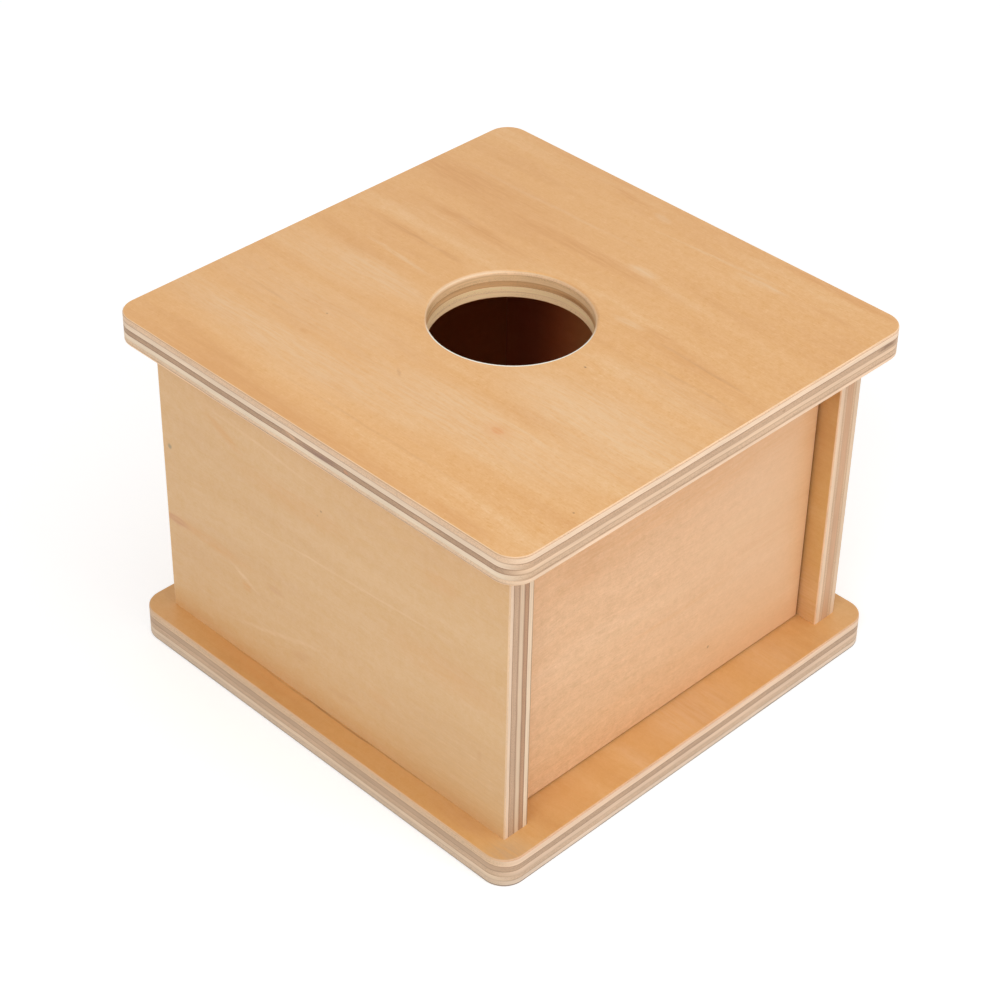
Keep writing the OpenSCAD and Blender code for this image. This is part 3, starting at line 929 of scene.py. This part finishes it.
def threaded_screw(length):
    """A countersunk screw along Z, with its head's face at 0 and its point at length.

    Below the head the radius falls at 45 degrees to the shank. On the thread it is the core's radius plus the
    thread's height times a ridge, which is 1 on the line z / pitch - a / turn = whole number and falls to 0
    over a share of the pitch. Core and crest both narrow evenly to the tip over the point.
    """
    face = screw_face()
    size = len(face)
    number = np.arange(size * size).reshape(size, size)
    rim = np.concatenate([number[-1, :-1], number[:0:-1, -1], number[0, :0:-1], number[:-1, 0]])
    flat = face.reshape(-1, 3)
    angle = np.arctan2(flat[rim, 1], flat[rim, 0])

    cone = HEAD_RADIUS - SHANK_RADIUS
    ring_gap = THREAD_PITCH / RINGS_PER_TURN
    thread_z = np.arange(PLAIN_LENGTH, length - ring_gap / 2, ring_gap)
    z = np.concatenate([(0.5 * cone, cone, cone + 0.4, PLAIN_LENGTH - 1.0), thread_z, [length]])
    to_tip = np.clip((length - z) / POINT_LENGTH, 0, 1)
    core = np.where(z < PLAIN_LENGTH, SHANK_RADIUS, CORE_RADIUS)
    core = TIP_RADIUS + (core - TIP_RADIUS) * to_tip
    core = np.maximum(core, HEAD_RADIUS - z)
    starting = np.clip((z - PLAIN_LENGTH) / THREAD_PITCH, 0, 1)
    crest = (CREST_RADIUS - CORE_RADIUS) * starting * to_tip ** 0.7
    phase = (z[:, None] / THREAD_PITCH - angle / (2 * np.pi)) % 1
    ridge = np.clip(1 - np.abs(phase - 0.5) / THREAD_SHARE, 0, 1)
    rings, ring_numbers = turned_rings(core[:, None] + crest[:, None] * ridge, angle, z)

    points = np.concatenate([flat, rings, [(0, 0, length)]])
    index = np.vstack([rim, size * size + ring_numbers])
    return points, [grid_quads(number, closed=False), grid_quads(index), fan(index[-1], len(points) - 1)]


def drive_screws(name, node, run, count, material):
    """The screws of one node, heads down, in a row along run."""
    lay_row(name, node, 2, run, count, HEAD_RADIUS, threaded_screw, material)


def place_camera():
    """The camera at the photograph's place: turned about the box by azimuth and elevation, then rolled."""
    azimuth, elevation, roll = map(math.radians, (CAMERA_AZIMUTH, CAMERA_ELEVATION, CAMERA_ROLL))
    level = math.cos(elevation)
    back = Vector((math.sin(azimuth) * level, -math.cos(azimuth) * level, math.sin(elevation)))
    right = Vector((math.cos(azimuth), math.sin(azimuth), 0))
    up = back.cross(right)
    rolled_right = right * math.cos(roll) + up * math.sin(roll)
    rolled_up = up * math.cos(roll) - right * math.sin(roll)
    low, high = cad_bounds
    middle = Vector((0, 0, (low.z + high.z) / 2))
    data = bpy.data.cameras.new("camera")
    data.lens = CAMERA_LENS
    data.sensor_width = SENSOR
    data.clip_start = CAMERA_NEAR * MM
    camera = put_in_scene("camera", data)
    turn = Matrix((rolled_right, rolled_up, back)).transposed().to_4x4()
    offset = back * CAMERA_DISTANCE - rolled_right * BOX_RIGHT - rolled_up * BOX_UP
    camera.matrix_world = Matrix.Translation(middle + offset * MM) @ turn
    bpy.context.scene.camera = camera


def seen_share(steps):
    """1 for rays that show the backdrop itself, in the picture, in gloss or through glass, else 0."""
    path = steps.node("ShaderNodeLightPath").outputs
    seen = steps.math("MAXIMUM", path["Is Camera Ray"], path["Is Glossy Ray"])
    return steps.math("MAXIMUM", seen, path["Is Transmission Ray"])


def light_world():
    """Even white light from all sides, which shows as full white."""
    world = bpy.data.worlds.new("studio")
    steps = empty_tree(world)
    strength = steps.span(seen_share(steps), 0, 1, WORLD_STRENGTH, 1)
    light = steps.node("ShaderNodeBackground", {"Color": WHITE, "Strength": strength})
    steps.node("ShaderNodeOutputWorld", {"Surface": light.outputs[0]})
    bpy.context.scene.world = world


def light_boxes():
    """Square softboxes that face the box."""
    for name, (width, place, power) in SOFTBOXES.items():
        data = bpy.data.lights.new(name, "AREA")
        data.size = width * MM
        data.energy = power
        lamp = put_in_scene(name, data)
        lamp.location = Vector(place) * MM
        lamp.rotation_euler = lamp.location.to_track_quat("Z", "Y").to_euler()


def lay_floor():
    """A white floor. Its own light lifts it to full white for the camera, and its shading keeps the shadow.

    It is open under the base board, which covers the opening, so that the underside can be looked at.
    """
    half = FLOOR_WIDTH / 2
    low, high = (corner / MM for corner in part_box("base_board"))
    opening = (low.x + FLOOR_LAP, low.y + FLOOR_LAP, high.x - FLOOR_LAP, high.y - FLOOR_LAP)
    points = []
    for left, front, right, back in ((-half, -half, half, half), opening):
        points += [(left, front, 0), (right, front, 0), (right, back, 0), (left, back, 0)]
    quads = [(side, (side + 1) % 4, (side + 1) % 4 + 4, side + 4) for side in range(4)]
    mesh = bpy.data.meshes.new("floor")
    mesh.from_pydata((np.array(points) * MM).tolist(), [], quads)
    floor = put_in_scene("floor", mesh)
    material = bpy.data.materials.new("white floor")
    steps = empty_tree(material)
    matt = steps.node("ShaderNodeBsdfDiffuse", {"Color": FLOOR_TONE})
    lift = steps.product(seen_share(steps), FLOOR_LIFT)
    glow = steps.node("ShaderNodeEmission", {"Color": WHITE, "Strength": lift})
    both = steps.node("ShaderNodeAddShader", {0: matt.outputs[0], 1: glow.outputs[0]})
    steps.node("ShaderNodeOutputMaterial", {"Surface": both.outputs[0]})
    mesh.materials.append(material)


with open("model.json") as file:
    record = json.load(file)
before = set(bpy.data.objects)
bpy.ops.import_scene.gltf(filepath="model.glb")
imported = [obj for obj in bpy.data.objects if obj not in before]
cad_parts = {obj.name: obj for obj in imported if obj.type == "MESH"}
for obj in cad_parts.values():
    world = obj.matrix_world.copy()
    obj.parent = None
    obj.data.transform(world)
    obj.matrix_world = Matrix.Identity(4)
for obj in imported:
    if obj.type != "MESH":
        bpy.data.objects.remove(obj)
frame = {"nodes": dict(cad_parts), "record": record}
cad_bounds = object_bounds()
bpy.context.scene.view_settings.view_transform = "Standard"
SHARED = {"figure": veneer_figure(), "mark": wood_mark(), "edge": edge_grain(), "scratches": scratches()}

place_camera()
light_world()
light_boxes()
lay_floor()

# Ground, band and pale tones of each veneer
TOP_TONES = (tone(233, 178, 116), tone(224, 165, 102), tone(239, 191, 136))
WALL_TONES = (tone(223, 180, 128), tone(215, 168, 115), tone(229, 190, 141))
# The walls' inner faces are drawn darker and redder than the outer ones, as painted shade inside the box
INNER_SHADED_TONES = (tone(216, 170, 106), tone(204, 154, 92), tone(224, 182, 122))
FLAP_TONES = (tone(228, 181, 136), tone(221, 170, 122), tone(234, 190, 148))
BASE_TONES = (tone(219, 167, 105), tone(207, 150, 88), tone(227, 181, 124))

# Each board: its node, its word in the material's name, the direction of its thickness from the outer face,
# the axis of that face's grain, how its faces look, and how its cut edges look
BOARDS = (
    ("top_board", "top", "-z", "y",
     dict(tones=TOP_TONES, marks=TOP_MARKS, bands=0.8, fibres=2.0, flecks=1.8, mottle=2.0,
          calm=(1, -50, 30, 0.7)),
     dict(plies=NINE_MM_PLIES, marks=EDGE_MARKS, lean=0.002, lit_hole_plies=LIT_HOLE_PLIES, hole_marks=HOLE_MARKS)),
    ("base_board", "base", "-z", "y", dict(tones=BASE_TONES, marks=BASE_MARKS),
     dict(plies=TEN_MM_PLIES, glue=SOFT_GLUE_SHADE)),
    ("left_wall", "left", "+x", "y",
     dict(tones=WALL_TONES, marks=LEFT_WALL_MARKS, inner_shaded_tones=INNER_SHADED_TONES, bands=0.5),
     dict(plies=WALL_PLIES)),
    ("right_wall", "right", "-x", "y",
     dict(tones=WALL_TONES, inner_shaded_tones=INNER_SHADED_TONES, inner_marks=RECESS_LIGHT_AND_SHADE_MARKS),
     dict(plies=RIGHT_WALL_PLIES, glue=HOLE_GLUE_SHADE)),
    ("back_wall", "back", "-y", "x", dict(tones=WALL_TONES, inner_shaded_tones=INNER_SHADED_TONES),
     dict(plies=WALL_PLIES)),
    ("front_flap", "flap", "+y", "x",
     dict(tones=FLAP_TONES, marks=FLAP_MARKS, fibres=2.2, flecks=1.2, mottle=2.5, warmth=0.3,
          calm=(0, -15, 45, 0.35)),
     dict(plies=WALL_PLIES)),
)
for node, word, depth, grain, veneer, layers in BOARDS:
    dress(node, plywood(f"lacquered {word} plywood", node, depth, grain, veneer, layers))

# The pins are ground round, so their lines run round them
steel = scratched_metal(
    "ground steel", (14, 0.6, 0.6), (tone(172, 174, 178), tone(206, 208, 212)), gloss=(0.24, 0.4))
# The screws have a yellow passivation on their zinc, which drifts from straw to a faint green
zinc = scratched_metal(
    "yellow zinc", (3, 3, 5), (tone(196, 156, 96), tone(224, 208, 150)), gloss=(0.26, 0.46),
    drift=tone(206, 190, 132))
beech = {axis: turned_beech(f"turned beech along {axis}", axis) for axis in "zx"}
for side in ("left", "right"):
    dress(f"{side}_pivot_pin", steel)
    lay_dowels(f"{side}_top_fluted_dowels", f"{side}_top_dowels", 2, 1, 3, beech["z"])
    lay_dowels(f"{side}_corner_fluted_dowels", f"{side}_corner_dowels", 0, 2, 2, beech["x"])
    drive_screws(f"{side}_base_threaded_screws", f"{side}_base_screws", 1, 3, zinc)
lay_dowels("back_top_fluted_dowels", "back_top_dowels", 2, 0, 2, beech["z"])
drive_screws("back_base_threaded_screws", "back_base_screws", 0, 2, zinc)
